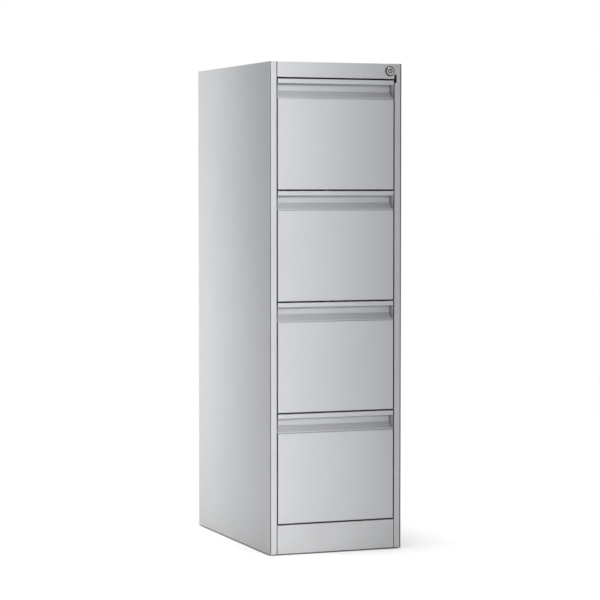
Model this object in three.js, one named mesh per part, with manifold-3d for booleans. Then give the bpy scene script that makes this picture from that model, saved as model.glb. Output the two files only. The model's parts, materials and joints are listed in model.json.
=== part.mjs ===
// A four-drawer steel filing cabinet with full-width recessed pulls, a barrel lock in the top rail
// and telescopic drawer slides. Millimetres, +Z up. The front faces -Y and +X is to the right of
// somebody facing it. The origin is on the floor, in the middle of the whole cabinet's outline.
import * as THREE from "three";
import { mergeVertices } from "three/addons/utils/BufferGeometryUtils.js";
import Module from "manifold-3d";

const wasm = await Module();
wasm.setup();

// ---- driving dimensions ----
const HEIGHT = 1321;
const WIDTH = 381;
const DEPTH = 600; // of the casing, from the drawer fronts to the back
const LOCK_PROUD = 4; // how far the lock stands out of the front
const DRAWERS = 4;
const PLINTH_TOP = 83; // middle of the gap under the lowest drawer
const RAIL_HEIGHT = 43; // top rail, down to the middle of the gap above the highest drawer
const STILE_WIDTH = 20;
const DRAWER_GAP = 4; // between one drawer front and the next
const SIDE_GAP = 3; // between a drawer front and a stile
const FLOOR_GAP = 3; // the casing stands this far off the floor, on its glides
const CASE_T = 1; // sheet of the side, top and back panels and of the drawers
const FRAME_T = 1.5; // sheet of the front frame and the slides
const SEAM = 0.3; // between pieces that are welded or screwed together
const FACE_SEAM = 1.5; // between the stiles and the ends of the top rail and plinth
const BEND = 2; // radius of a fold, at the middle of the sheet
const FRONT_BEND = 0.9; // the same for the folds that show at the front
const BEND_STEPS = 4; // facets in a fold

// ---- places worked out from them ----
const FRONT = LOCK_PROUD - (DEPTH + LOCK_PROUD) / 2;
const BACK = FRONT + DEPTH;
const HALF = WIDTH / 2;
const OPENING = HALF - STILE_WIDTH; // half the width between the stiles
const PITCH = (HEIGHT - PLINTH_TOP - RAIL_HEIGHT) / DRAWERS;
const INSIDE = HALF - CASE_T - SEAM; // half the width that fits between the side panels
const RAIL_BOTTOM = HEIGHT - RAIL_HEIGHT + DRAWER_GAP / 2;
const RETURN = 24; // depth of the front frame's folds behind its face
const TOP_FRONT = FRONT + 3.3; // front edge of the top panel
const TOP_FLANGE = 18;
const BACK_INSET = CASE_T + SEAM; // the back panel lies inside the side panels' back flanges
const PANEL_BACK = BACK - BACK_INSET - CASE_T - SEAM; // back edge of the top panel and base pan
const PAN_BOTTOM = 12;
const PAN_T = 1.2;
const PAN_FLANGE = 26;

// slides: three nested channels, measured inward from the uprights
const SLIDE_LENGTH = 550;
const SLIDE_START = FRONT + 36;
const SLIDE_HEIGHT = 60; // middle of a slide above the bottom of its drawer's place
const UPRIGHT_FACE = OPENING - SEAM;
const SLIDE_FACE = UPRIGHT_FACE - SEAM;
const SLIDE_THICK = 12.9;
const TUB_HALF = SLIDE_FACE - SLIDE_THICK - SEAM; // half the outer width of a drawer body

// drawer, measured from the bottom of its place
const FRONT_HALF = OPENING - SIDE_GAP;
const LIP_HEIGHT = 14.3; // the lip that the fingers reach behind, down from the top of the place
const RECESS_DEPTH = 20;
const RECESS_BACK = 34; // where the back of the recess ends, down from the top of the place
const RECESS_HEIGHT = 52; // where the front panel starts, down from the top of the place
const PULL_T = 1.2;
const FRONT_DEPTH = 21; // of the hollow front panel
const TUB_FRONT = FRONT + FRONT_DEPTH + 0.6;
const TUB_BACK = FRONT + 574;
const TUB_BOTTOM = 12;
const TUB_TOP = 250;

// lock, seen from the front
const LOCK_X = 155.9;
const LOCK_Z = 1300.5;
const BEZEL_R = 11.6;
const BARREL_R = 9.5;
const PLUG_R = 6;
const PLUG_CLEARANCE = 0.3;
const CRANK_R = 9; // from the lock's axis to the cam's pin
const CRANK_REST = Math.PI / 4; // the pin swings from here to as far below the level
const PIN_R = 2;
const BAR_FRONT = FRONT + 25;
const BAR_T = 2;
const BAR_LEFT = 175;
const BAR_RIGHT = 184;
const BAR_TRAVEL = 2 * CRANK_R * Math.sin(CRANK_REST);
const CATCH_TOP = 228; // of a drawer's catch, above the bottom of its place
const CATCH_HEIGHT = 10;
const HOOK_LIFT = 3; // an unlocked hook stands this far above its catch
const WINDOW_X = 172.5; // the slot in which the bar's tab shows, over the stile's inner edge
const WINDOW_HALF = 3.5;
const WINDOW_TOP = 1292.5;
const WINDOW_BOTTOM = 1268.5;

// ---- materials ----
const paint = (colour, roughness) =>
  new THREE.MeshStandardMaterial({ color: colour, roughness, metalness: 0 });
const bare = (colour, roughness) =>
  new THREE.MeshStandardMaterial({ color: colour, roughness, metalness: 1 });
const GREY_PAINT = paint(0xbfc0c3, 0.45);
const ZINC = bare(0xb4b6b8, 0.35);
const NICKEL = bare(0xc8c8c6, 0.2);
const BLACK_PLASTIC = paint(0x1c1c1e, 0.55);

// ---- solids ----

// A closed geometry as a solid that can be joined and cut.
function solid(geometry) {
  geometry.deleteAttribute("normal");
  geometry.deleteAttribute("uv");
  const merged = mergeVertices(geometry, 1e-4);
  const corners = merged.index.array;
  const kept = [];
  for (let i = 0; i < corners.length; i += 3) {
    const [a, b, c] = corners.slice(i, i + 3);
    if (a !== b && b !== c && c !== a) kept.push(a, b, c);
  }
  const vertProperties = merged.attributes.position.array;
  const triVerts = new Uint32Array(kept);
  return new wasm.Manifold(new wasm.Mesh({ numProp: 3, vertProperties, triVerts }));
}

function union(solids) {
  return solids.reduce((whole, piece) => whole.add(piece));
}

function cut(body, holes) {
  return holes.reduce((left, hole) => left.subtract(hole), body);
}

// A named mesh of a solid, with a material of its own.
function piece(name, body, material) {
  const found = body.getMesh();
  const geometry = new THREE.BufferGeometry();
  geometry.setAttribute("position", new THREE.BufferAttribute(found.vertProperties, 3));
  geometry.setIndex(new THREE.BufferAttribute(found.triVerts, 1));
  const flat = geometry.toNonIndexed();
  flat.computeVertexNormals();
  const mesh = new THREE.Mesh(flat, material.clone());
  mesh.name = name;
  return mesh;
}

function block(x0, x1, y0, y1, z0, z1) {
  const box = new THREE.BoxGeometry(x1 - x0, y1 - y0, z1 - z0);
  box.translate((x0 + x1) / 2, (y0 + y1) / 2, (z0 + z1) / 2);
  return solid(box);
}

const AXIS = {
  x: new THREE.Vector3(1, 0, 0),
  y: new THREE.Vector3(0, 1, 0),
  z: new THREE.Vector3(0, 0, 1),
};

// A section drawn across an axis and run along it. Along x it is drawn as (y, z), along y as
// (x, z) and along z as (x, y).
function run(section, along, from, to) {
  const [across, up] = { x: ["y", "z"], y: ["z", "x"], z: ["x", "y"] }[along];
  const points = along === "y" ? section.map((p) => new THREE.Vector2(p.y, p.x)) : section;
  const shape = new THREE.Shape(points);
  const bar = new THREE.ExtrudeGeometry(shape, { depth: to - from, bevelEnabled: false });
  bar.translate(0, 0, from);
  bar.applyMatrix4(new THREE.Matrix4().makeBasis(AXIS[across], AXIS[up], AXIS[along]));
  return solid(bar);
}

// The outline of a sheet of one thickness folded along a path, which is the middle of the sheet.
function folded(path, thickness, radius = BEND) {
  const spots = path.map(([x, y]) => new THREE.Vector2(x, y));
  const left = [];
  const right = [];
  const normalOf = (direction) => new THREE.Vector2(-direction.y, direction.x);
  const mark = (at, normal) => {
    left.push(at.clone().addScaledVector(normal, thickness / 2));
    right.unshift(at.clone().addScaledVector(normal, -thickness / 2));
  };
  spots.forEach((spot, i) => {
    const before = i > 0 ? spot.clone().sub(spots[i - 1]).normalize() : null;
    const after = i < spots.length - 1 ? spots[i + 1].clone().sub(spot).normalize() : null;
    if (!before || !after) {
      mark(spot, normalOf(before || after));
      return;
    }
    const turn = Math.atan2(before.cross(after), before.dot(after));
    const setback = radius * Math.tan(Math.abs(turn) / 2);
    const towards = normalOf(before).multiplyScalar(Math.sign(turn) * radius);
    const centre = spot.clone().addScaledVector(before, -setback).add(towards);
    for (let k = 0; k <= BEND_STEPS; k++) {
      const part = (turn * k) / BEND_STEPS;
      const out = towards.clone().negate().rotateAround(new THREE.Vector2(), part);
      const direction = before.clone().rotateAround(new THREE.Vector2(), part);
      mark(centre.clone().add(out), normalOf(direction));
    }
  });
  return [...left, ...right];
}

// A turned piece about an axis along y, from a profile of [radius, y] pairs that goes round it.
function turned(profile, segments) {
  const points = profile.map(([r, y]) => new THREE.Vector2(r, y));
  return solid(new THREE.LatheGeometry(points, segments));
}

// An upright slot with round ends, through everything from y0 to y1.
function uprightSlot(x, half, z0, z1, y0, y1) {
  const shape = new THREE.Shape();
  shape.absarc(z1 - half, x, half, -Math.PI / 2, Math.PI / 2, false);
  shape.absarc(z0 + half, x, half, Math.PI / 2, (3 * Math.PI) / 2, false);
  const outline = shape.extractPoints(6).shape.map((p) => new THREE.Vector2(p.y, p.x));
  outline.pop();
  return run(outline, "y", y0, y1);
}

function levelSlot(z, half, x0, x1, y0, y1) {
  const shape = new THREE.Shape();
  shape.absarc(x1 - half, z, half, -Math.PI / 2, Math.PI / 2, false);
  shape.absarc(x0 + half, z, half, Math.PI / 2, (3 * Math.PI) / 2, false);
  const outline = shape.extractPoints(6).shape;
  outline.pop();
  return run(outline, "y", y0, y1);
}

function rod(radius, x, z, y0, y1, segments) {
  const bar = new THREE.CylinderGeometry(radius, radius, y1 - y0, segments);
  bar.translate(x, (y0 + y1) / 2, z);
  return solid(bar);
}

// ---- casing ----

// One wall of the casing: a sheet with its back edge folded in, and its foot folded in too.
function sidePanel() {
  const mid = -HALF + CASE_T / 2;
  const front = FRONT + FRAME_T / 2;
  const backFold = [mid + 16, BACK - CASE_T / 2];
  const section = folded([[mid, front], [mid, backFold[1]], backFold], CASE_T);
  const wall = run(section, "z", FLOOR_GAP, HEIGHT);
  const foot = block(mid, mid + 12, FRONT + 34, BACK - 4, FLOOR_GAP, FLOOR_GAP + CASE_T);
  return wall.add(foot);
}

// A tray that closes the casing: a sheet whose sides and back are folded, and its front or not.
function tray(y0, y1, level, edge, thickness, frontFolded) {
  const side = Math.sign(edge - level);
  const mid = level + (side * thickness) / 2;
  const [a, b] = [y0 + thickness / 2, y1 - thickness / 2];
  const front = frontFolded ? [[a, edge], [a, mid]] : [[y0, mid]];
  const section = folded([...front, [b, mid], [b, edge]], thickness);
  const inner = Math.min(level, edge);
  const outer = Math.max(level, edge);
  const flange = (x) => block(x - thickness, x, y0 + 3, y1 - 3, inner, outer);
  return union([run(section, "x", -INSIDE, INSIDE), flange(INSIDE), flange(thickness - INSIDE)]);
}

// The back has a raised field, level with the side panels' flanges on either side of it.
function backPanel() {
  const face = BACK - BACK_INSET;
  const [low, high] = [60, HEIGHT - 40];
  const field = HALF - 26;
  const edge = INSIDE - BEND;
  const sheet = block(-edge, edge, face - CASE_T, face, FLOOR_GAP + 4, HEIGHT - 0.5);
  const raised = block(-field, field, face - CASE_T, BACK, low, high);
  const wall = 1.2;
  const hollow = block(
    wall - field, field - wall, face - CASE_T - 1, BACK - CASE_T, low + wall, high - wall,
  );
  return cut(sheet.add(raised), [hollow]);
}

const GLIDE_X = 158;
const GLIDE_FRONT = FRONT + 52;
const GLIDE_BACK = BACK - 40;
const GLIDE_SPOTS = {
  front_left: [-GLIDE_X, GLIDE_FRONT],
  front_right: [GLIDE_X, GLIDE_FRONT],
  back_left: [-GLIDE_X, GLIDE_BACK],
  back_right: [GLIDE_X, GLIDE_BACK],
};
const GLIDE_STEM_R = 4;

function basePan() {
  const pan = tray(FRONT + RETURN + 12, PANEL_BACK, PAN_BOTTOM, PAN_BOTTOM + PAN_FLANGE, PAN_T, true);
  const hole = ([x, y]) => {
    const drill = new THREE.CylinderGeometry(GLIDE_STEM_R + SEAM, GLIDE_STEM_R + SEAM, 8, 16);
    drill.rotateX(Math.PI / 2);
    drill.translate(x, y, PAN_BOTTOM);
    return solid(drill);
  };
  return cut(pan, Object.values(GLIDE_SPOTS).map(hole));
}

// A nylon glide: a wide foot under the base pan, and a stem with a head that snaps in above it.
function glide() {
  const under = PAN_BOTTOM - SEAM;
  const above = PAN_BOTTOM + PAN_T + SEAM;
  const profile = [
    [0, 0], [12, 0], [14, 2], [14, under], [GLIDE_STEM_R, under], [GLIDE_STEM_R, above],
    [GLIDE_STEM_R + 2, above + 0.8], [GLIDE_STEM_R - 1, above + 7], [0, above + 7],
  ];
  const body = new THREE.LatheGeometry(profile.map(([r, z]) => new THREE.Vector2(r, z)), 20);
  body.rotateX(Math.PI / 2);
  return solid(body);
}

// ---- front frame ----

// A post beside the drawers: a channel that is open at the back, closed over at the top. It is
// drawn on the left. A narrow groove is left between it and the side panel.
function stile() {
  const groove = 1.8;
  const outer = groove + CASE_T - HALF + FRAME_T / 2;
  const inner = -OPENING - FRAME_T / 2;
  const face = FRONT + FRAME_T / 2;
  const outerFold = FRONT + RETURN + 8;
  const path = [[outer, outerFold], [outer, face], [inner, face], [inner, FRONT + RETURN]];
  const channel = run(folded(path, FRAME_T, FRONT_BEND), "z", FLOOR_GAP, HEIGHT - FRAME_T / 2);
  const room = block(-HALF, -OPENING + 1, TOP_FRONT - SEAM, BACK, HEIGHT - TOP_FLANGE - SEAM,
    HEIGHT + 1);
  const cap = block(outer, inner, face, TOP_FRONT - SEAM, HEIGHT - FRAME_T, HEIGHT);
  return cut(channel, [room]).add(cap);
}

// The top rail and the right stile are one piece, with the lock's hole and its tab's slot.
function frontFrame() {
  const face = FRONT + FRAME_T / 2;
  const [top, bottom] = [HEIGHT - FRAME_T / 2, RAIL_BOTTOM + FRAME_T / 2];
  const path = [
    [TOP_FRONT - SEAM, top], [face, top], [face, bottom], [FRONT + RETURN, bottom],
  ];
  const section = folded(path, FRAME_T, FRONT_BEND);
  const rail = run(section, "x", FACE_SEAM - OPENING, OPENING + FRAME_T / 2);
  const corner = block(OPENING, BAR_LEFT + 6, FRONT, FRONT + FRAME_T, RAIL_BOTTOM, HEIGHT);
  const post = mirrored(stile());
  const window = uprightSlot(WINDOW_X, WINDOW_HALF, WINDOW_BOTTOM, WINDOW_TOP, FRONT - 5,
    FRONT + RETURN + 1);
  const hole = rod(BARREL_R + SEAM, LOCK_X, LOCK_Z, FRONT - 5, FRONT + 5, 32);
  return cut(union([rail, corner, post]), [window, hole]);
}

// The same solid on the other side of the cabinet's middle.
function mirrored(body) {
  return body.mirror([1, 0, 0]);
}

function plinth() {
  const face = FRONT + FRAME_T / 2;
  const top = PLINTH_TOP - DRAWER_GAP / 2 - FRAME_T / 2;
  const bottom = FLOOR_GAP + FRAME_T / 2;
  const path = [[FRONT + RETURN, top], [face, top], [face, bottom], [FRONT + 18, bottom]];
  return run(folded(path, FRAME_T, FRONT_BEND), "x", FACE_SEAM - OPENING, OPENING - FACE_SEAM);
}

// A post that the slides hook into: a channel with its open side against the side panel.
function upright(y) {
  const width = 40;
  const thickness = 1.2;
  const face = -UPRIGHT_FACE - thickness / 2;
  const [a, b] = [y + thickness / 2, y + width - thickness / 2];
  const path = [[-INSIDE, a], [face, a], [face, b], [-INSIDE, b]];
  const post = run(folded(path, thickness), "z", PAN_BOTTOM + PAN_FLANGE + 2,
    HEIGHT - TOP_FLANGE - 1);
  const slots = [];
  for (let n = 1; n <= DRAWERS; n++) {
    for (const rise of [-34, 34]) {
      const z = placeBottom(n) + SLIDE_HEIGHT + rise;
      slots.push(block(face - 3, face + 3, y + 17, y + 23, z - 4, z + 4));
    }
  }
  return cut(post, slots);
}

// ---- slides ----

// Each slide is three channels, one inside the next, drawn on the left about its own middle.
const SLIDE_PARTS = {
  cabinet_member: { web: -SLIDE_FACE + 0.75, tip: -SLIDE_FACE + 10.9, half: 22 },
  middle_member: { web: -SLIDE_FACE + 3.5, tip: -SLIDE_FACE + 10.4, half: 18.6 },
  drawer_member: { web: -SLIDE_FACE + 12.15, tip: -SLIDE_FACE + 5.4, half: 15.2 },
};

function slideMember({ web, tip, half }, start) {
  const path = [[tip, half], [web, half], [web, -half], [tip, -half]];
  return run(folded(path, FRAME_T), "y", start, start + SLIDE_LENGTH);
}

// ---- drawers, drawn with the bottom of the drawer's place at height 0 ----

// The hollow front panel: a sheet whose sides and foot are folded back. The pull covers its top.
function drawerFront() {
  const [low, high] = [DRAWER_GAP / 2, PITCH - RECESS_HEIGHT];
  const deep = FRONT + FRONT_DEPTH;
  const side = FRONT_HALF - CASE_T / 2;
  const face = FRONT + CASE_T / 2;
  const path = [[-side, deep], [-side, face], [side, face], [side, deep]];
  const skin = run(folded(path, CASE_T, FRONT_BEND), "z", low + FRONT_BEND, high);
  const foot = low + CASE_T / 2;
  const inside = FRONT_HALF - FRONT_BEND;
  const fold = folded([[deep, foot], [face, foot], [face, low + 4]], CASE_T, FRONT_BEND);
  return skin.add(run(fold, "x", -inside, inside));
}

// The pull: one folded sheet that makes the hemmed lip, the top, the recess's back and its sloped
// floor, and is screwed behind the front panel. Cheeks close its ends.
function drawerPull() {
  const half = PULL_T / 2;
  const top = PITCH - DRAWER_GAP / 2 - half;
  const lip = FRONT + half;
  const hem = lip + 2.6;
  const lipEnd = PITCH - LIP_HEIGHT + half;
  const back = FRONT + RECESS_DEPTH + half;
  const backEnd = PITCH - RECESS_BACK - 0.4;
  const foot = FRONT + CASE_T + SEAM + half;
  const floorEnd = PITCH - RECESS_HEIGHT + 1.2;
  const path = [
    [hem, lipEnd + 6], [hem, lipEnd], [lip, lipEnd], [lip, top], [back, top],
    [back, backEnd], [foot, floorEnd], [foot, PITCH - RECESS_HEIGHT - 12],
  ];
  const sheet = run(folded(path, PULL_T, 1.2), "x", -FRONT_HALF, FRONT_HALF);
  const room = CASE_T + 1.5;
  const below = PITCH - RECESS_HEIGHT + 0.3;
  const notch = (x) => block(x, x + 10, FRONT - 1, FRONT + 6, below - 20, below);
  const outline = [[lip, lipEnd], [foot, floorEnd], [back, backEnd], [back, top], [lip, top]];
  const corners = outline.map(([y, z]) => new THREE.Vector2(y, z));
  const cheek = (x) => run(corners, "x", x, x + 1.5);
  const body = union([sheet, cheek(-FRONT_HALF), cheek(FRONT_HALF - 1.5)]);
  return cut(body, [notch(room - FRONT_HALF - 10), notch(FRONT_HALF - room)]);
}

// The drawer body: sides whose top edges are rolled outwards to carry hanging files, a front wall
// that closes the hollow front, a back wall, and the catch for the lock on its right side.
function drawerTub() {
  const side = TUB_HALF - CASE_T / 2;
  const roll = side + 6.6;
  const [low, high] = [TUB_BOTTOM + CASE_T / 2, TUB_TOP - CASE_T / 2];
  const path = [
    [-roll, high - 9], [-roll, high], [-side, high], [-side, low],
    [side, low], [side, high], [roll, high], [roll, high - 9],
  ];
  const trough = run(folded(path, CASE_T, 1.5), "y", TUB_FRONT + CASE_T / 2, TUB_BACK);
  const wall = FRONT_HALF - 0.5;
  const front = block(-wall, wall, TUB_FRONT, TUB_FRONT + CASE_T, 3, PITCH - 3);
  const within = side - 0.2;
  const backWall = TUB_BACK - 4;
  const back = block(-within, within, backWall, backWall + CASE_T, low + 0.3, TUB_TOP - 12);
  const catchStart = BAR_FRONT + BAR_T + 1.5;
  const latch = block(
    side, OPENING - 1, catchStart, catchStart + 3, CATCH_TOP - CATCH_HEIGHT, CATCH_TOP,
  );
  return union([trough, front, back, latch]);
}

// ---- lock ----

function lockHousing() {
  const bore = PLUG_R + PLUG_CLEARANCE;
  const [nose, shoulder, tail] = [FRONT - LOCK_PROUD, FRONT - 0.1, FRONT + 20];
  const profile = [
    [bore, nose + 1], [bore + 2.2, nose + 1], [bore + 2.6, nose], [BEZEL_R - 1, nose],
    [BEZEL_R, nose + 1], [BEZEL_R, shoulder], [BARREL_R, shoulder], [BARREL_R, tail],
    [bore, tail], [bore, nose + 1],
  ];
  return turned(profile, 32);
}

function lockNut() {
  const start = FRONT + FRAME_T + SEAM;
  const hexagon = rod(13.5, 0, 0, start, start + 4, 6);
  return cut(hexagon, [rod(BARREL_R + SEAM, 0, 0, start - 1, start + 5, 32)]);
}

function lockPlug() {
  const nose = FRONT - LOCK_PROUD + 0.8;
  const barrel = rod(PLUG_R, 0, 0, nose, FRONT + 20.3, 24);
  const keyway = block(-1.1, 1.1, nose - 1, nose + 4, -4, 4);
  return cut(barrel, [keyway]);
}

// A crank behind the plug, whose pin lifts and drops the lock bar.
function lockCam() {
  const [front, behind] = [FRONT + 20.6, FRONT + 23.1];
  const x = CRANK_R * Math.cos(CRANK_REST);
  const z = CRANK_R * Math.sin(CRANK_REST);
  const hub = rod(6.5, 0, 0, front, behind, 24);
  const arm = rod(3.6, x, z, front, behind, 20);
  const pin = rod(PIN_R, x, z, front, BAR_FRONT + BAR_T + 1.6, 16);
  return union([hub, arm, pin]);
}

// A flat bar behind the right stile. Its hooks drop in front of the drawers' catches, and its
// head reaches across to the lock's crank.
function lockBar() {
  const [front, behind] = [BAR_FRONT, BAR_FRONT + BAR_T];
  const pinZ = LOCK_Z + CRANK_R * Math.sin(CRANK_REST);
  const strip = block(BAR_LEFT, BAR_RIGHT, front, behind, 290, pinZ + 6);
  const head = block(LOCK_X + 0.5, BAR_RIGHT, front, behind, pinZ - 7, pinZ + 6);
  const hooks = [];
  for (let n = 1; n <= DRAWERS; n++) {
    const z = placeBottom(n) + CATCH_TOP + HOOK_LIFT;
    hooks.push(block(165, BAR_LEFT + 1, front, behind, z, z + 12));
  }
  const slot = levelSlot(pinZ, PIN_R + 0.5, LOCK_X + 3.4, LOCK_X + 12, front - 1, behind + 1);
  return cut(union([strip, head, ...hooks]), [slot]);
}

// A plastic tab on the bar. Its nose shows in the slot beside the top drawer.
function lockTab() {
  const [low, high] = [WINDOW_TOP - 11.2, WINDOW_TOP - 0.4];
  const half = 1.7;
  const x = OPENING + FRAME_T + 0.5 + half;
  const nose = uprightSlot(x, half, low, high, FRONT + FRAME_T + SEAM, FRONT + 12);
  const base = block(x - half, BAR_RIGHT - 3, FRONT + 10, BAR_FRONT - SEAM, low + half, high - half);
  return nose.add(base);
}

// A nylon clip between the stile's folds that keeps the bar in line.
function barGuide() {
  const wall = OPENING + FRAME_T + 0.4;
  const far = HALF - CASE_T - 1.5 - FRAME_T - SEAM;
  const body = block(wall, far, FRONT + 21, BAR_FRONT + BAR_T + 3.4, -10, 10);
  const groove = block(BAR_LEFT - SEAM, BAR_RIGHT + SEAM, FRONT + 20, BAR_FRONT + BAR_T + SEAM,
    -11, 11);
  return cut(body, [groove]);
}

// ---- assembly ----

// Height of the bottom of a drawer's place. Drawer 1 is the highest.
function placeBottom(n) {
  return PLINTH_TOP + (DRAWERS - n) * PITCH;
}

const cabinet = new THREE.Group();

// Adds a piece at a place, or the same piece on the right if it was drawn on the left.
function place(group, mesh, { x = 0, y = 0, z = 0, mirror = false } = {}) {
  mesh.position.set(x, y, z);
  if (mirror) mesh.scale.x = -1;
  group.add(mesh);
}

const wallPanel = sidePanel();
place(cabinet, piece("left_side_panel", wallPanel, GREY_PAINT));
place(cabinet, piece("right_side_panel", wallPanel, GREY_PAINT), { mirror: true });
place(cabinet, piece("back_panel", backPanel(), GREY_PAINT));
const topPanel = tray(TOP_FRONT, PANEL_BACK, HEIGHT, HEIGHT - TOP_FLANGE, CASE_T, false);
place(cabinet, piece("top_panel", topPanel, GREY_PAINT));
place(cabinet, piece("base_pan", basePan(), GREY_PAINT));
place(cabinet, piece("left_stile", stile(), GREY_PAINT));
place(cabinet, piece("front_frame", frontFrame(), GREY_PAINT));
place(cabinet, piece("plinth", plinth(), GREY_PAINT));

const frontPost = upright(FRONT + 40);
const backPost = upright(BACK - 80);
place(cabinet, piece("front_left_upright", frontPost, ZINC));
place(cabinet, piece("front_right_upright", frontPost, ZINC), { mirror: true });
place(cabinet, piece("back_left_upright", backPost, ZINC));
place(cabinet, piece("back_right_upright", backPost, ZINC), { mirror: true });

const foot = glide();
for (const [corner, [x, y]] of Object.entries(GLIDE_SPOTS)) {
  place(cabinet, piece(`${corner}_glide`, foot, BLACK_PLASTIC), { x, y });
}

place(cabinet, piece("lock_housing", lockHousing(), NICKEL), { x: LOCK_X, z: LOCK_Z });
place(cabinet, piece("lock_nut", lockNut(), NICKEL), { x: LOCK_X, z: LOCK_Z });
place(cabinet, piece("lock_plug", lockPlug(), NICKEL), { x: LOCK_X, z: LOCK_Z });
place(cabinet, piece("lock_cam", lockCam(), ZINC), { x: LOCK_X, z: LOCK_Z });
place(cabinet, piece("lock_bar", lockBar(), ZINC));
place(cabinet, piece("lock_tab", lockTab(), BLACK_PLASTIC));
const clip = barGuide();
place(cabinet, piece("upper_bar_guide", clip, BLACK_PLASTIC), { z: placeBottom(1) + 130 });
place(cabinet, piece("lower_bar_guide", clip, BLACK_PLASTIC), { z: placeBottom(3) + 130 });

const frontSkin = drawerFront();
const pull = drawerPull();
const tub = drawerTub();
const slideStarts = {
  cabinet_member: SLIDE_START,
  middle_member: SLIDE_START + 1,
  drawer_member: TUB_FRONT + CASE_T + 1,
};
for (let n = 1; n <= DRAWERS; n++) {
  const drawer = new THREE.Group();
  drawer.position.z = placeBottom(n);
  cabinet.add(drawer);
  place(drawer, piece(`drawer_${n}_front`, frontSkin, GREY_PAINT));
  place(drawer, piece(`drawer_${n}_pull`, pull, GREY_PAINT));
  place(drawer, piece(`drawer_${n}_tub`, tub, GREY_PAINT));
  for (const [part, size] of Object.entries(SLIDE_PARTS)) {
    const member = slideMember(size, slideStarts[part]);
    place(drawer, piece(`slide_${n}_left_${part}`, member, ZINC), { z: SLIDE_HEIGHT });
    place(drawer, piece(`slide_${n}_right_${part}`, member, ZINC), {
      z: SLIDE_HEIGHT,
      mirror: true,
    });
  }
}

export default cabinet;
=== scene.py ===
"""The looks of a four-drawer steel filing cabinet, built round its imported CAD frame.

Shapes are worked out in millimetres and turned into metres when a piece is added. The front of
the cabinet faces -Y, +X is to the right of somebody who faces it, and +Z is up.
"""

import json
import math

import bmesh
import bpy
from mathutils import Matrix, Vector


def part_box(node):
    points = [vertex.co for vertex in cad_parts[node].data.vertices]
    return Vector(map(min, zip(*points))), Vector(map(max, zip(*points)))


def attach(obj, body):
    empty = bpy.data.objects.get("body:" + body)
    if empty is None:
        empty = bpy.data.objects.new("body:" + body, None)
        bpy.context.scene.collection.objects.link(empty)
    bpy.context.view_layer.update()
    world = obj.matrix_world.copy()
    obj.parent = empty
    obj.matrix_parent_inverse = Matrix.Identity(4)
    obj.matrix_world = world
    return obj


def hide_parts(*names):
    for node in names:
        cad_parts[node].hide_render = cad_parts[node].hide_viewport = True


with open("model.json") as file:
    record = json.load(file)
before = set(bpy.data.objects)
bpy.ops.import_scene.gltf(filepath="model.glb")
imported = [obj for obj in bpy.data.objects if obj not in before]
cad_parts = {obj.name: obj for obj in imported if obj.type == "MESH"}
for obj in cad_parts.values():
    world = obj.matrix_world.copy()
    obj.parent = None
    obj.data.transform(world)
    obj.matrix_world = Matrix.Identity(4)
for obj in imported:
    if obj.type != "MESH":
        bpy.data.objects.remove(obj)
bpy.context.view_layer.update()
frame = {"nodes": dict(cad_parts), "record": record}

MM = 0.001
SAME_SPOT = 1e-4  # points closer than this, in mm, are one
DRAWERS = (1, 2, 3, 4)
SIDES = {"left": -1, "right": 1}


def box_mm(node):
    """Lowest and highest corner of a CAD node, in millimetres."""
    low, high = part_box(node)
    return low / MM, high / MM


FRONT = box_mm("front_frame")[0].y
BACK = box_mm("left_side_panel")[1].y
HEIGHT = box_mm("front_frame")[1].z
PITCH = box_mm("drawer_1_front")[0].z - box_mm("drawer_2_front")[0].z
# half of the gap between one drawer front and the next
HALF_GAP = (box_mm("drawer_1_front")[0].z - box_mm("drawer_2_pull")[1].z) / 2
PAINT_SLOT, ZINC_SLOT = "grey_paint", "zinc_plate"
NICKEL_SLOT, NYLON_SLOT = "nickel_plate", "black_nylon"


def place_bottom(n):
    """Height of the bottom of a drawer's place."""
    return box_mm(f"drawer_{n}_front")[0].z - HALF_GAP


# ---- camera, lights and floor ----

CAMERA_PLACE = Vector((-2.2911, -5.9966, 0.992))
CAMERA_YAW = math.radians(20.993)
CAMERA_PITCH = math.radians(2.873)
SENSOR_WIDTH = 36
CAMERA_LENS = 136.95
CAMERA_REACH = 200

FRONT_STRIP_POWER, FRONT_STRIP_SPREAD = 6.8, 24
SIDE_STRIP_POWER, SIDE_STRIP_SPREAD = 6.1, 79
SIDE_STRIP_DEPTH = 0.34  # along the side panel
MIDDLE_HEIGHT = 0.66
SUN_POWER, SUN_ANGLE = 2.6, 20
ROOM_SEEN, ROOM_FELT = 1.0, 0.32
FLOOR_RADIUS = 40


def make_camera():
    data = bpy.data.cameras.new("camera")
    data.sensor_width = SENSOR_WIDTH
    data.lens = CAMERA_LENS
    data.clip_end = CAMERA_REACH
    camera = bpy.data.objects.new("camera", data)
    bpy.context.scene.collection.objects.link(camera)
    level = math.cos(CAMERA_PITCH)
    ahead = Vector((
        math.sin(CAMERA_YAW) * level,
        math.cos(CAMERA_YAW) * level,
        -math.sin(CAMERA_PITCH),
    ))
    camera.location = CAMERA_PLACE
    camera.rotation_euler = ahead.to_track_quat("-Z", "Y").to_euler()
    bpy.context.scene.camera = camera


def area_light(name, place, target, size, power, spread):
    """A soft rectangular lamp that the camera doesn't see. Its size is across, then up."""
    data = bpy.data.lights.new(name, "AREA")
    data.shape = "RECTANGLE"
    data.size, data.size_y = size
    data.energy = power
    data.spread = math.radians(spread)
    lamp = bpy.data.objects.new(name, data)
    lamp.location = place
    aim = Vector(target) - Vector(place)
    lamp.rotation_euler = aim.to_track_quat("-Z", "Y").to_euler()
    lamp.visible_camera = False
    bpy.context.scene.collection.objects.link(lamp)


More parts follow.
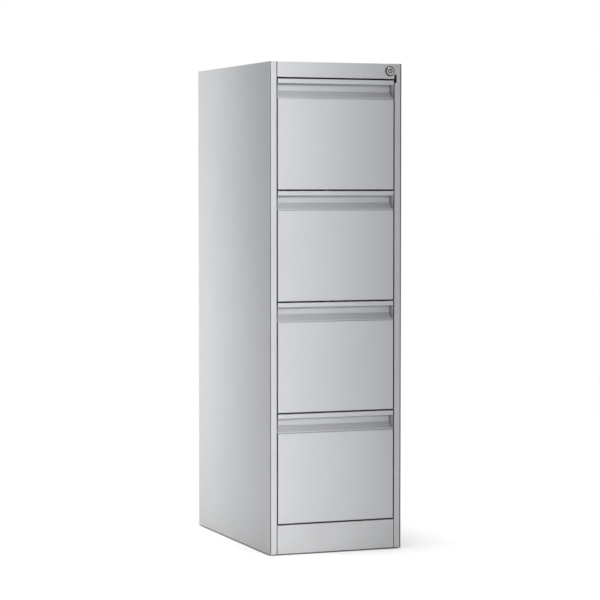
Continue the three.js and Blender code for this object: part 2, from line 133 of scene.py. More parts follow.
def make_lights():
    """Two gridded strips shade the front and the side from bright to dark, and a sky lights the
    floor. The front strip looks down a little, so that it reaches under the pulls' lips."""
    across = -0.32
    area_light("front_strip", (across, -3.3, 1.5), (across, FRONT * MM, MIDDLE_HEIGHT),
               (0.3, 3.0), FRONT_STRIP_POWER, FRONT_STRIP_SPREAD)
    area_light("side_strip", (-1.2, SIDE_STRIP_DEPTH, MIDDLE_HEIGHT),
               (0, SIDE_STRIP_DEPTH, MIDDLE_HEIGHT), (0.15, 2.6), SIDE_STRIP_POWER,
               SIDE_STRIP_SPREAD)
    data = bpy.data.lights.new("overhead", "SUN")
    data.energy = SUN_POWER
    data.angle = math.radians(SUN_ANGLE)
    lamp = bpy.data.objects.new("overhead", data)
    bpy.context.scene.collection.objects.link(lamp)


def make_world():
    """A dim white room for the object, which the camera sees as bright as the floor."""
    world = bpy.data.worlds.new("studio")
    bpy.context.scene.world = world
    world.use_nodes = True
    tree = world.node_tree
    seen = tree.nodes.new("ShaderNodeBackground")
    seen.inputs["Color"].default_value = (1, 1, 1, 1)
    seen.inputs["Strength"].default_value = ROOM_SEEN
    felt = tree.nodes["Background"]
    felt.inputs["Color"].default_value = (0.97, 0.985, 1, 1)
    felt.inputs["Strength"].default_value = ROOM_FELT
    path = tree.nodes.new("ShaderNodeLightPath")
    mix = tree.nodes.new("ShaderNodeMixShader")
    tree.links.new(path.outputs["Is Camera Ray"], mix.inputs["Fac"])
    tree.links.new(felt.outputs[0], mix.inputs[1])
    tree.links.new(seen.outputs[0], mix.inputs[2])
    tree.links.new(mix.outputs[0], tree.nodes["World Output"].inputs["Surface"])


def make_floor():
    bm = bmesh.new()
    bmesh.ops.create_circle(bm, cap_ends=True, radius=FLOOR_RADIUS, segments=96)
    mesh = bpy.data.meshes.new("floor")
    bm.to_mesh(mesh)
    bm.free()
    floor = bpy.data.objects.new("floor", mesh)
    bpy.context.scene.collection.objects.link(floor)
    material = bpy.data.materials.new("floor")
    material.use_nodes = True
    shader = material.node_tree.nodes["Principled BSDF"]
    shader.inputs["Base Color"].default_value = (0.9, 0.9, 0.9, 1)
    shader.inputs["Roughness"].default_value = 0.9
    shader.inputs["Specular IOR Level"].default_value = 0.1
    mesh.materials.append(material)


# ---- materials ----


class Surface:
    """A material on the Principled shader, with short ways to add its texture nodes."""

    def __init__(self, name, **uniform):
        self.material = bpy.data.materials.new(name)
        self.material.use_nodes = True
        self.nodes = self.material.node_tree.nodes
        self.links = self.material.node_tree.links
        self.shader = self.nodes["Principled BSDF"]
        for socket, value in uniform.items():
            self.shader.inputs[socket.replace("_", " ")].default_value = value
        self.place = self.nodes.new("ShaderNodeTexCoord").outputs["Object"]

    def stretched(self, scale):
        mapping = self.nodes.new("ShaderNodeMapping")
        mapping.inputs["Scale"].default_value = scale
        self.links.new(self.place, mapping.inputs["Vector"])
        return mapping.outputs["Vector"]

    def noise(self, scale, detail=2, rough=0.5, place=None):
        noise = self.nodes.new("ShaderNodeTexNoise")
        noise.inputs["Scale"].default_value = scale
        noise.inputs["Detail"].default_value = detail
        noise.inputs["Roughness"].default_value = rough
        self.links.new(place or self.place, noise.inputs["Vector"])
        return noise.outputs["Fac"]

    def cells(self, scale, place=None):
        cells = self.nodes.new("ShaderNodeTexVoronoi")
        cells.inputs["Scale"].default_value = scale
        self.links.new(place or self.place, cells.inputs["Vector"])
        return cells.outputs["Color"]

    def ramp(self, value, stops):
        """A value turned into numbers or colours at given stops."""
        ramp = self.nodes.new("ShaderNodeValToRGB")
        elements = ramp.color_ramp.elements
        while len(elements) < len(stops):
            elements.new(0.5)
        for element, (position, colour) in zip(elements, stops):
            element.position = position
            if isinstance(colour, (int, float)):
                colour = (colour, colour, colour)
            element.color = (*colour, 1)
        self.links.new(value, ramp.inputs["Fac"])
        return ramp.outputs["Color"]

    def mix(self, factor, a, b, how="MIX"):
        mix = self.nodes.new("ShaderNodeMix")
        mix.data_type = "RGBA"
        mix.blend_type = how
        for socket, value in (("Factor", factor), ("A", a), ("B", b)):
            spot = [s for s in mix.inputs if s.name == socket and s.enabled][0]
            if isinstance(value, bpy.types.NodeSocket):
                self.links.new(value, spot)
            else:
                spot.default_value = value
        return [s for s in mix.outputs if s.enabled][0]

    def edges(self, radius):
        """How close a point is to an edge of its piece, from 0 to 1."""
        bevel = self.nodes.new("ShaderNodeBevel")
        bevel.samples = 4
        bevel.inputs["Radius"].default_value = radius
        geometry = self.nodes.new("ShaderNodeNewGeometry")
        dot = self.nodes.new("ShaderNodeVectorMath")
        dot.operation = "DOT_PRODUCT"
        self.links.new(bevel.outputs["Normal"], dot.inputs[0])
        self.links.new(geometry.outputs["Normal"], dot.inputs[1])
        return self.ramp(dot.outputs["Value"], [(0.80, 1), (0.97, 0)])

    def crevices(self, reach, shut, open_):
        """How shut in by nearby surfaces a point is, in a corner, a groove or a seam, from 0 to
        1, by ambient occlusion: the mask for painted shade.
        """
        hidden = self.nodes.new("ShaderNodeAmbientOcclusion")
        hidden.samples = 6
        hidden.inputs["Distance"].default_value = reach
        return self.ramp(hidden.outputs["AO"], [(shut, 1), (open_, 0)])

    def ring_about(self, centre, inner, outer):
        """A soft ring round a point, from 1 at its inner radius to 0 at its outer one."""
        moved = self.nodes.new("ShaderNodeVectorMath")
        moved.operation = "SUBTRACT"
        moved.inputs[1].default_value = centre
        self.links.new(self.place, moved.inputs[0])
        length = self.nodes.new("ShaderNodeVectorMath")
        length.operation = "LENGTH"
        self.links.new(moved.outputs[0], length.inputs[0])
        share = self.nodes.new("ShaderNodeMapRange")
        share.inputs["From Min"].default_value = inner
        share.inputs["From Max"].default_value = outer
        share.inputs["To Min"].default_value = 1
        share.inputs["To Max"].default_value = 0
        self.links.new(length.outputs["Value"], share.inputs["Value"])
        return share.outputs["Result"]

    def height(self):
        split = self.nodes.new("ShaderNodeSeparateXYZ")
        self.links.new(self.place, split.inputs[0])
        return split.outputs["Z"]

    def bump(self, *layers):
        """Each layer is a height, its strength and its depth in metres."""
        before = None
        for value, strength, depth in layers:
            bump = self.nodes.new("ShaderNodeBump")
            bump.inputs["Strength"].default_value = strength
            bump.inputs["Distance"].default_value = depth
            self.links.new(value, bump.inputs["Height"])
            if before:
                self.links.new(before, bump.inputs["Normal"])
            before = bump.outputs["Normal"]
        self.links.new(before, self.shader.inputs["Normal"])

    def feed(self, socket, value):
        self.links.new(value, self.shader.inputs[socket])


def powder_coat():
    """Grey powder coat: orange peel, a faint mottle, rub marks, dust near the floor, painted
    shade in corners, grooves and seams, a painted shadow ring round the lock, and small chips
    down to the steel along the edges."""
    s = Surface("powder_coat", Metallic=0.0, IOR=1.48, Coat_Weight=0.12, Coat_Roughness=0.3)
    mottle = s.ramp(s.noise(5.5, 4, 0.55), [
        (0.3, (0.398, 0.403, 0.414)),
        (0.7, (0.415, 0.420, 0.430)),
    ])
    speck = s.ramp(s.noise(900, 1), [(0.35, 0.95), (0.65, 1.0)])
    coloured = s.mix(1.0, mottle, speck, "MULTIPLY")
    low_down = s.ramp(s.height(), [(0.0, 0.5), (0.14, 0.0)])
    dust = s.mix(1.0, low_down, s.ramp(s.noise(28, 5, 0.65), [(0.42, 0.0), (0.62, 1.0)]),
                 "MULTIPLY")
    coloured = s.mix(dust, coloured, (0.37, 0.365, 0.355, 1))
    # Painted shade: ambient occlusion, reaching into neighbouring parts, darkens corners, grooves
    # and the seams between parts to near black; it fades where a drawer opens.
    painted_crevice_shade = s.crevices(0.005, 0.32, 0.95)
    coloured = s.mix(painted_crevice_shade, coloured, (0.040, 0.039, 0.038, 1))
    # Painted shade: a dark ring on the paint just outside the lock's bezel, standing in for the
    # shadow where the bezel meets the rail.
    low, high = box_mm("lock_housing")
    lock = Vector(((low.x + high.x) / 2, FRONT, (low.z + high.z) / 2)) * MM
    rim = (high.x - low.x) / 2 * MM
    coloured = s.mix(s.ring_about(lock, rim + 0.001, rim + 0.003), coloured,
                     (0.12, 0.12, 0.12, 1))
    chips = s.mix(1.0, s.edges(0.0007), s.ramp(s.noise(210, 3, 0.6), [(0.56, 0), (0.62, 1)]),
                  "MULTIPLY")
    coloured = s.mix(chips, coloured, (0.21, 0.20, 0.19, 1))
    s.feed("Base Color", coloured)
    rubs = s.ramp(s.noise(1.0, 6, 0.7, s.stretched((3, 3, 95))), [(0.60, 0.0), (0.66, 0.06)])
    gloss = s.ramp(s.noise(16, 4, 0.6), [(0.3, 0.41), (0.7, 0.49)])
    s.feed("Roughness", s.mix(1.0, gloss, rubs, "ADD"))
    s.bump((s.noise(520, 2), 0.20, 0.00012), (s.noise(7, 2), 0.05, 0.0006))
    return s.material


def rolled_zinc():
    """Zinc-plated strip: streaks along the rolling direction and a faint cloudy crystal."""
    s = Surface("rolled_zinc", Metallic=1.0)
    streaks = s.noise(1.0, 4, 0.6, s.stretched((260, 5, 260)))
    base = s.ramp(streaks, [(0.25, (0.50, 0.51, 0.53)), (0.75, (0.66, 0.67, 0.68))])
    cloud = s.mix(0.10, base, s.cells(90), "SOFT_LIGHT")
    s.feed("Base Color", cloud)
    s.feed("Roughness", s.ramp(s.noise(40, 4, 0.6), [(0.3, 0.26), (0.7, 0.44)]))
    s.bump((streaks, 0.12, 0.0001))
    return s.material


def satin_nickel():
    """Satin nickel: turning marks, a dull handled bloom, and painted shade, near black, deep in
    the grooves.
    """
    s = Surface("satin_nickel", Metallic=1.0)
    tone = s.ramp(s.noise(120, 3), [(0.3, (0.50, 0.495, 0.485)), (0.7, (0.60, 0.595, 0.585))])
    # Painted shade: ambient occlusion darkens the lock's grooves, between bezel and plug, to near
    # black.
    painted_crevice_shade = s.crevices(0.0025, 0.30, 0.80)
    s.feed("Base Color", s.mix(painted_crevice_shade, tone, (0.015, 0.015, 0.015, 1)))
    s.feed("Roughness", s.ramp(s.noise(300, 4), [(0.3, 0.34), (0.7, 0.46)]))
    s.bump((s.noise(1.0, 2, 0.5, s.stretched((3000, 60, 3000))), 0.06, 0.00005))
    return s.material


def moulded_nylon():
    s = Surface("moulded_nylon", Metallic=0.0, IOR=1.53)
    s.feed("Base Color", s.ramp(s.noise(70, 4), [
        (0.3, (0.012, 0.012, 0.013)),
        (0.7, (0.026, 0.026, 0.028)),
    ]))
    s.feed("Roughness", s.ramp(s.noise(150, 3), [(0.3, 0.42), (0.7, 0.60)]))
    s.bump((s.noise(1400, 2), 0.15, 0.00006))
    return s.material


# ---- shapes ----


def rounded(path, radius, steps=6):
    """The points of a path with its corners rounded. A point may state a radius of its own."""
    spots = [Vector(p[:2]) for p in path]
    radii = [p[2] if len(p) > 2 else radius for p in path]
    line = [spots[0]]
    for i in range(1, len(spots) - 1):
        before = (spots[i] - spots[i - 1]).normalized()
        after = (spots[i + 1] - spots[i]).normalized()
        turn = math.atan2(before.cross(after), before.dot(after))
        if abs(turn) < 1e-4:
            line.append(spots[i])
            continue
        side = math.copysign(1, turn)
        inward = Vector((-before.y, before.x)) * side * radii[i]
        start = spots[i] - before * radii[i] * math.tan(abs(turn) / 2)
        centre = start + inward
        for k in range(steps + 1):
            line.append(centre + Matrix.Rotation(turn * k / steps, 2) @ -inward)
    line.append(spots[-1])
    return line


def spot_along(axis, across, up, along):
    """A point from its place in the section across an axis and its place along that axis."""
    if axis == "x":
        return Vector((along, across, up))
    if axis == "y":
        return Vector((across, along, up))
    return Vector((across, up, along))


def sheet(line, axis, stations, skip=None):
    """A thin surface that follows a line across an axis and runs through stations along it."""
    bm = bmesh.new()
    grid = [[bm.verts.new(spot_along(axis, p.x, p.y, s)) for p in line] for s in stations]
    for j in range(len(stations) - 1):
        for i in range(len(line) - 1):
            if skip and skip(i, j):
                continue
            bm.faces.new((grid[j][i], grid[j][i + 1], grid[j + 1][i + 1], grid[j + 1][i]))
    loose = [v for v in bm.verts if not v.link_faces]
    bmesh.ops.delete(bm, geom=loose, context="VERTS")
    return bm


def prism(outline, axis, start, end, bm=None):
    """A solid with a closed outline across an axis."""
    bm = bm or bmesh.new()
    ends = [[bm.verts.new(spot_along(axis, a, b, s)) for a, b in outline] for s in (start, end)]
    faces = [bm.faces.new(ends[0]), bm.faces.new(ends[1])]
    for i in range(len(outline)):
        j = (i + 1) % len(outline)
        faces.append(bm.faces.new((ends[0][i], ends[0][j], ends[1][j], ends[1][i])))
    bmesh.ops.recalc_face_normals(bm, faces=faces)
    return bm


def ring(bm, centre, turn, radius_at, height, segments):
    """A ring of points about an axis. The radius may change with the angle."""
    points = []
    for k in range(segments):
        angle = 2 * math.pi * k / segments
        r = radius_at(angle)
        spot = Vector((r * math.cos(angle), r * math.sin(angle), height))
        points.append(bm.verts.new(centre + turn @ spot))
    return points


def turned(profile, centre, direction, segments=48, bm=None):
    """A turned solid. The profile lists a radius, or a function of the angle, and a height."""
    bm = bm or bmesh.new()
    turn = Vector(direction).to_track_quat("Z", "Y").to_matrix()
    centre = Vector(centre)
    rings = []
    for radius, height in profile:
        if radius == 0:
            rings.append([bm.verts.new(centre + turn @ Vector((0, 0, height)))])
            continue
        radius_at = radius if callable(radius) else (lambda angle, r=radius: r)
        rings.append(ring(bm, centre, turn, radius_at, height, segments))
    faces = []
    for low, high in zip(rings, rings[1:]):
        for k in range(segments):
            j = (k + 1) % segments
            if len(low) == 1:
                faces.append(bm.faces.new((low[0], high[j], high[k])))
            elif len(high) == 1:
                faces.append(bm.faces.new((low[k], low[j], high[0])))
            else:
                faces.append(bm.faces.new((low[k], low[j], high[j], high[k])))
    bmesh.ops.recalc_face_normals(bm, faces=faces)
    return bm


def hexagon(across_flats):
    """The radius of a hexagon at each angle."""
    half = across_flats / 2
    return lambda angle: half / math.cos((angle % (math.pi / 3)) - math.pi / 6)


def socket_screw(bm, centre, direction, radius=3.4, height=1.1):
    """A low button head with a hexagon socket."""
    key = hexagon(radius * 0.85)
    profile = [
        (0, height * 0.25), (key, height * 0.25), (key, height), (radius * 0.62, height),
        (radius * 0.86, height * 0.78), (radius * 0.98, height * 0.4), (radius, 0), (0, 0),
    ]
    turned(profile, centre, direction, 24, bm)


def rivet(bm, centre, direction, radius=2.6, height=0.9):
    profile = [
        (0, height), (radius * 0.5, height * 0.93), (radius * 0.82, height * 0.66),
        (radius, height * 0.15), (radius, 0), (0, 0),
    ]
    turned(profile, centre, direction, 18, bm)


def finish_edges(obj, thickness, edge):
    """Thickness for a thin surface, small round edges, and normals that keep flats flat."""
    if thickness:
        solid = obj.modifiers.new("thickness", "SOLIDIFY")
        solid.thickness = thickness * MM
        solid.offset = 0
        solid.use_even_offset = True
    if edge:
        bevel = obj.modifiers.new("edges", "BEVEL")
        bevel.width = edge * MM
        bevel.segments = 2
        bevel.limit_method = "ANGLE"
        bevel.angle_limit = math.radians(38)
        bevel.harden_normals = True
    weighted = obj.modifiers.new("normals", "WEIGHTED_NORMAL")
    weighted.weight = 60


def add(name, bm, body, slot, thickness=0, edge=0.2, stands_for=()):
    """Adds a piece that rides on a body, and hides the CAD nodes that it stands for."""
    bmesh.ops.transform(bm, matrix=Matrix.Scale(MM, 4), verts=bm.verts)
    if thickness:
        bmesh.ops.recalc_face_normals(bm, faces=bm.faces)
    mesh = bpy.data.meshes.new(name)
    bm.to_mesh(mesh)
    bm.free()
    mesh.polygons.foreach_set("use_smooth", [True] * len(mesh.polygons))
    mesh.materials.append(MATERIALS[slot])
    obj = bpy.data.objects.new(name, mesh)
    bpy.context.scene.collection.objects.link(obj)
    finish_edges(obj, thickness, edge)
    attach(obj, body)
    if stands_for:
        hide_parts(*stands_for)
    return obj


# ---- drawers ----

SHEET = 1.0  # thickness of the folded sheet metal
PULL_T = 1.2  # thickness of the pull's sheet
FRONT_BEND = 0.9  # radius of the folds that show at the front, at the middle of the sheet
LIP_DROP = 14.3  # to the lip's lower edge, from the top of the drawer's place
RECESS_DROP = 34  # to the foot of the recess's back wall
FLOOR_DROP = place_bottom(1) + PITCH - box_mm("drawer_1_front")[1].z  # to the front panel
PANEL_SEAM = 2.4  # between the foot of the pull's slope and the front panel
SEAM_DEPTH = 2.3  # of the groove there, behind the front panel's sheet
HEM = 6  # height of the sheet folded up behind the lip
END_WALL = 1.5  # thickness of the plates that close the pull's ends


def drawer_front(n):
    """The flat front panel, drawn from one sheet with its sides and foot folded back."""
    low, high = box_mm(f"drawer_{n}_front")
    half = SHEET / 2
    x, y, deep = high.x - half, low.y + half, high.y
    foot, top = low.z + half, high.z - PANEL_SEAM
    bm = bmesh.new()
    corners = [(-x, foot), (x, foot), (x, top), (-x, top)]
    near = [bm.verts.new((a, y, b)) for a, b in corners]
    far = [bm.verts.new((a, deep, b)) for a, b in corners]
    bm.faces.new(near)
    bm.faces.new((near[0], far[0], far[1], near[1]))
    bm.faces.new((near[1], far[1], far[2], near[2]))
    bm.faces.new((near[3], far[3], far[0], near[0]))
    folds = [e for e in bm.edges if len(e.link_faces) == 2]
    bmesh.ops.bevel(bm, geom=folds, offset=FRONT_BEND, segments=5, profile=0.5, affect="EDGES")
    add(f"drawer_{n}_front_panel", bm, f"drawer_{n}", PAINT_SLOT, SHEET, 0.3,
        [f"drawer_{n}_front"])


def pull_line(n):
    """The middle of the pull's sheet, as (y, z) points, from the hem to the screwed flange."""
    low, high = box_mm(f"drawer_{n}_pull")
    half = PULL_T / 2
    top_of_place = high.z + HALF_GAP
    lip, back = low.y + half, high.y - half
    hem = lip + 2.6
    lip_end = top_of_place - LIP_DROP + half
    foot = low.y + SHEET + SEAM_DEPTH + half
    floor_end = top_of_place - FLOOR_DROP + 1.2
    return [
        (hem, lip_end + HEM), (hem, lip_end), (lip, lip_end), (lip, high.z - half),
        (back, high.z - half, 2.2), (back, top_of_place - RECESS_DROP - 0.4, 3),
        (foot, floor_end, 1.5), (foot, low.z),
    ]


def drawer_pull(n):
    """The full-width pull, and the pressed plates that close its ends."""
    path = pull_line(n)
    width = box_mm(f"drawer_{n}_pull")[1].x
    narrow = width - 4.5  # the flange stops short of the ends
    line = rounded(path, 1.25, 7)
    floor_end = path[6][1] - 0.9
    bm = sheet(line, "x", [-width, -narrow, narrow, width],
               lambda i, j: j != 1 and line[i].y < floor_end)
    body = f"drawer_{n}"
    add(f"drawer_{n}_handle", bm, body, PAINT_SLOT, PULL_T, 0.25, [f"drawer_{n}_pull"])
    lip_end, top, floor, foot = path[2], path[3], path[5], path[6]
    outline = rounded([lip_end, foot[:2], floor, path[4], top[:2], lip_end], 0.5, 3)[:-1]
    corners = [(p.x, p.y) for p in outline]
    for side, sign in SIDES.items():
        start, end = sorted((sign * width, sign * (width - END_WALL)))
        add(f"drawer_{n}_handle_{side}_end", prism(corners, "x", start, end), body, PAINT_SLOT,
            0, 0.3)


TUB_WALL = 156.2  # the trough's sides, from the middle
ROLL = 162.8  # the rolled rails' outer edge, from the middle
TUB_FLOOR, RAIL_TOP, BACK_WALL_TOP = 12.5, 249.5, 237.5  # above the bottom of the place
BEAD_DEPTH = 1.6
SIDE_BEADS, SIDE_BEAD_WIDTH = (198, 108), 16
FLOOR_BEADS, FLOOR_BEAD_HALF = (-95, 0, 95), 11
BACK_BEAD_LEVEL, BACK_BEAD_HALF = 120, 12
CATCH_LOW, CATCH_HIGH = 218, 228  # above the bottom of the place
CATCH_Y, CATCH_T = 28.5, 3  # behind the cabinet's front


def bead(start, end, level, depth, upright):
    """Four points that raise a stiffening bead on a straight stretch of sheet."""
    slope = math.copysign(4, end - start)
    points = [(start, level), (start + slope, level + depth), (end - slope, level + depth),
              (end, level)]
    return [(b, a) for a, b in points] if upright else points


def drawer_tub(n):
    """The drawer's body: a beaded trough with rolled rails, and its front and back walls."""
    low, high = box_mm(f"drawer_{n}_tub")
    place = place_bottom(n)
    body = f"drawer_{n}"
    floor = place + TUB_FLOOR
    rail = place + RAIL_TOP
    half_path = [(-ROLL, rail - 9), (-ROLL, rail), (-TUB_WALL, rail)]
    for level in SIDE_BEADS:
        half_path += bead(place + level, place + level - SIDE_BEAD_WIDTH, -TUB_WALL,
                          BEAD_DEPTH, True)
    half_path += [(-TUB_WALL, floor, 2.5)]
    across = [b for x in FLOOR_BEADS for b in bead(x - FLOOR_BEAD_HALF, x + FLOOR_BEAD_HALF,
                                                   floor, BEAD_DEPTH, False)]
    mirrored = [(-p[0], *p[1:]) for p in reversed(half_path)]
    path = half_path + across + mirrored
    trough = sheet(rounded(path, 1.4, 5), "y", [low.y + SHEET, high.y])
    add(f"drawer_{n}_trough", trough, body, PAINT_SLOT, SHEET, 0.2, [f"drawer_{n}_tub"])
    wall = low.y + SHEET / 2
    top = high.z - SHEET / 2
    front = rounded([(wall, low.z), (wall, top), (wall + 9, top)], 1.5)
    add(f"drawer_{n}_inner_wall", sheet(front, "x", [low.x, -low.x]), body, PAINT_SLOT, SHEET)
    wall = high.y - 3.5
    top = place + BACK_WALL_TOP
    middle = place + BACK_BEAD_LEVEL
    back = rounded([
        (wall, floor + 0.8),
        *bead(middle - BACK_BEAD_HALF, middle + BACK_BEAD_HALF, wall, -BEAD_DEPTH, True),
        (wall, top), (wall - 8, top),
    ], 1.5)
    add(f"drawer_{n}_back_wall", sheet(back, "x", [1 - TUB_WALL, TUB_WALL - 1]), body, PAINT_SLOT,
        SHEET)
    latch_low, latch_high = place + CATCH_LOW, place + CATCH_HIGH
    latch_y = FRONT + CATCH_Y
    outline = [(TUB_WALL + 0.5, latch_low - 8), (TUB_WALL + 3, latch_low - 8),
               (TUB_WALL + 3.4, latch_low), (high.x - 3, latch_low), (high.x, latch_low + 3),
               (high.x, latch_high - 1), (high.x - 1, latch_high), (TUB_WALL + 0.5, latch_high)]
    add(f"drawer_{n}_catch", prism(outline, "y", latch_y, latch_y + CATCH_T), body, ZINC_SLOT,
        0, 0.3)


def drawer_fasteners(n):
    """Screws that hold the front on, and rivets that hold the slides."""
    low, high = box_mm(f"drawer_{n}_tub")
    place = place_bottom(n)
    screws = bmesh.new()
    for x in (-120, 120):
        for rise in (60, 190):
            socket_screw(screws, (x, low.y + SHEET, place + rise), (0, 1, 0), 4.2, 1.6)
    add(f"drawer_{n}_front_screws", screws, f"drawer_{n}", ZINC_SLOT, 0, 0)
    rivets = bmesh.new()
    for sign in SIDES.values():
        for share in (0.05, 0.35, 0.65, 0.95):
            y = low.y + share * (high.y - low.y)
            rivet(rivets, (sign * (TUB_WALL - 0.5), y, place + 60), (-sign, 0, 0))
    add(f"drawer_{n}_slide_rivets", rivets, f"drawer_{n}", ZINC_SLOT, 0, 0)


SLIDE_WEB = 167.0  # the middle member's web, from the cabinet's middle
CAGE_HALF, CAGE_HALF_T = 1.9, 0.2
BALL_RADIUS, BALLS_IN_ROW = 0.85, 10
# how far the balls run from the slide's middle, and the share of its length that they cover
CAGES = {"outer": (20.3, 0.5, 0.92), "inner": (16.9, 0.08, 0.5)}


def ball_cage(n, side, sign):
    """The strips and balls that run between a slide's channels."""
    low, high = box_mm(f"slide_{n}_{side}_middle_member")
    middle = (low.z + high.z) / 2
    web = sign * SLIDE_WEB
    for which, (rise, start, end) in CAGES.items():
        bm = bmesh.new()
        y0, y1 = (low.y + share * (high.y - low.y) for share in (start, end))
        for up in (-1, 1):
            z = middle + up * rise
            across = web - sign * 4.2
            left, right = across - CAGE_HALF, across + CAGE_HALF
            under, over = z - CAGE_HALF_T, z + CAGE_HALF_T
            strip = [(left, under), (right, under), (right, over), (left, over)]
            prism(strip, "y", y0, y1, bm)
            for k in range(BALLS_IN_ROW):
                y = y0 + (k + 0.5) * (y1 - y0) / BALLS_IN_ROW
                bmesh.ops.create_icosphere(bm, subdivisions=2, radius=BALL_RADIUS,
                                           matrix=Matrix.Translation((across, y, z)))
        add(f"slide_{n}_{side}_{which}_balls", bm, f"runners_{n}", ZINC_SLOT, 0, 0)


# ---- casing, lock and feet ----


BACK_SCREW = (3.2, 1.1)  # head radius and height
BACK_SCREW_X = 169.2
BACK_BORDER = 1.3  # how far the border is sunk below the raised field


def back_screws():
    """Screws round the back panel, in the sunk border beside its raised field."""
    face = box_mm("back_panel")[1].y - BACK_BORDER
    bm = bmesh.new()
    for sign in SIDES.values():
        for z in (90, 375, 660, 945, 1230):
            socket_screw(bm, (sign * BACK_SCREW_X, face, z), (0, 1, 0), *BACK_SCREW)
    for x in (-110, 0, 110):
        for z in (33, HEIGHT - 20):
            socket_screw(bm, (x, face, z), (0, 1, 0), *BACK_SCREW)
    add("back_panel_screws", bm, "case", ZINC_SLOT, 0, 0)


def glides():
    """Nylon glides: a dished foot, a collar, and a barbed stem with ribs."""
    for corner in ("front_left", "front_right", "back_left", "back_right"):
        node = f"{corner}_glide"
        low, high = box_mm(node)
        centre = (low + high) / 2
        under = 11.7  # the top of the foot
        profile = [
            (0, 0.8), (9, 0.8), (10, 0), (12, 0), (13, 0.4), (13.7, 1.2), (14, 2.4),
            (14, under - 1.5), (13.6, under - 0.4), (12.8, under), (4, under), (4, 13.5),
            (5.4, 14.3), (5.7, 15), (4.6, high.z - 1), (3.4, high.z), (0, high.z),
        ]
        bm = turned(profile, (centre.x, centre.y, 0), (0, 0, 1), 40)
        add(f"{corner}_foot", bm, "case", NYLON_SLOT, 0, 0.15, [node])


def lock_bezel():
    """The lock's turned barrel with its flat bezel, and the black gasket round it."""
    low, high = box_mm("lock_housing")
    centre = (low + high) / 2
    nose, bore, outer, barrel = low.y, 6.3, (high.x - low.x) / 2, 9.5
    ring_r, seat = outer - 1.4, FRONT - 1.0
    profile = [
        (bore, nose + 3.2), (bore + 0.1, nose + 0.8), (bore + 0.4, nose + 0.3),
        (bore + 0.8, nose + 0.05), (bore + 1.2, nose), (ring_r - 1.0, nose),
        (ring_r - 0.5, nose + 0.15), (ring_r - 0.1, nose + 0.5), (ring_r, nose + 1.0),
        (ring_r, seat), (barrel, seat), (barrel, high.y), (bore, high.y),
        (bore, nose + 3.2),
    ]
    bm = turned(profile, (centre.x, 0, centre.z), (0, 1, 0), 72)
    bmesh.ops.remove_doubles(bm, verts=bm.verts, dist=SAME_SPOT)
    add("lock_bezel", bm, "case", NICKEL_SLOT, 0, 0.12, ["lock_housing"])
    inner, rim = ring_r + 0.15, outer + 1.0
    band = [(inner, nose + 1.2), (outer - 0.2, nose + 1.2), (rim - 0.5, seat - 0.6),
            (rim, seat + 0.2), (rim, FRONT - 0.05), (inner, FRONT - 0.05), (inner, nose + 1.2)]
    bm = turned(band, (centre.x, 0, centre.z), (0, 1, 0), 64)
    bmesh.ops.remove_doubles(bm, verts=bm.verts, dist=SAME_SPOT)
    add("lock_gasket", bm, "case", NYLON_SLOT, 0, 0)


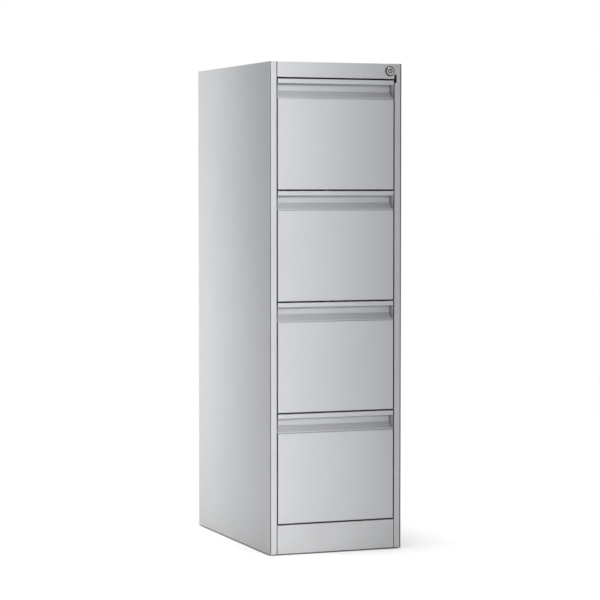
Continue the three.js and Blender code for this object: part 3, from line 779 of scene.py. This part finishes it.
def lock_core():
    """The plug: a stepped, crowned nose with a keyway, on a barrel that fills the bore."""
    low, high = box_mm("lock_plug")
    centre = (low + high) / 2
    face, barrel = low.y, (high.x - low.x) / 2
    nose = barrel - 2.0
    profile = [
        (0, face + 0.1), (nose - 0.8, face + 0.12), (nose - 0.2, face + 0.3), (nose, face + 0.7),
        (nose, face + 3.4), (barrel, face + 3.6), (barrel, high.y), (0, high.y),
    ]
    bm = turned(profile, (centre.x, 0, centre.z), (0, 1, 0), 64)
    plug = add("lock_core", bm, "lock_cylinder", NICKEL_SLOT, 0, 0.1, ["lock_plug"])
    width, height, depth = 0.5, 2.6, 6
    ward = [(-width, -height), (width, -height), (width, -0.9), (width * 0.2, -0.4),
            (width * 0.2, 0.5), (width, 0.9), (width, height), (-width, height),
            (-width, 1.3), (-width * 1.8, 0.9), (-width * 1.8, -0.2), (-width, -0.6)]
    cutter = prism([(centre.x + a, centre.z + b) for a, b in ward], "y", face - 1, face + depth)
    cut_out(plug, cutter)
    seal = [(nose + 0.1, face + 1.0), (barrel, face + 0.8), (barrel, face + 3.5),
            (nose + 0.1, face + 3.3), (nose + 0.1, face + 1.0)]
    bm = turned(seal, (centre.x, 0, centre.z), (0, 1, 0), 64)
    bmesh.ops.remove_doubles(bm, verts=bm.verts, dist=SAME_SPOT)
    add("lock_dust_seal", bm, "lock_cylinder", NYLON_SLOT, 0, 0)


def cut_out(obj, cutter):
    """Cuts a closed shape out of a finished piece, before its edges are rounded."""
    bmesh.ops.transform(cutter, matrix=Matrix.Scale(MM, 4), verts=cutter.verts)
    mesh = bpy.data.meshes.new("cutter")
    cutter.to_mesh(mesh)
    cutter.free()
    tool = bpy.data.objects.new("cutter", mesh)
    bpy.context.scene.collection.objects.link(tool)
    boolean = obj.modifiers.new("cut", "BOOLEAN")
    boolean.object = tool
    boolean.operation = "DIFFERENCE"
    boolean.solver = "EXACT"
    obj.modifiers.move(len(obj.modifiers) - 1, 0)
    graph = bpy.context.evaluated_depsgraph_get()
    for other in obj.modifiers:
        other.show_viewport = other == boolean
    graph.update()
    shape = bpy.data.meshes.new_from_object(obj.evaluated_get(graph))
    obj.modifiers.remove(boolean)
    for other in obj.modifiers:
        other.show_viewport = True
    obj.data = shape
    bpy.data.objects.remove(tool)


def dress_frame():
    """Small round edges and the right material for each CAD node that still shows."""
    slots = {row["node"]: row["material_slot"] for row in frame["record"]["subparts"]}
    for name, obj in frame["nodes"].items():
        if obj.hide_render:
            continue
        obj.data.materials.clear()
        obj.data.materials.append(MATERIALS[slots[name]])
        obj.data.polygons.foreach_set("use_smooth", [True] * len(obj.data.polygons))
        weld = obj.modifiers.new("joined", "WELD")
        weld.merge_threshold = 2e-6
        finish_edges(obj, 0, 0.3)


MATERIALS = {
    PAINT_SLOT: powder_coat(),
    ZINC_SLOT: rolled_zinc(),
    NICKEL_SLOT: satin_nickel(),
    NYLON_SLOT: moulded_nylon(),
}

make_camera()
make_lights()
make_world()
make_floor()
for number in DRAWERS:
    drawer_front(number)
    drawer_pull(number)
    drawer_tub(number)
    drawer_fasteners(number)
    for side_name, side_sign in SIDES.items():
        ball_cage(number, side_name, side_sign)
back_screws()
glides()
lock_bezel()
lock_core()
dress_frame()

bpy.context.scene.view_settings.view_transform = "Standard"
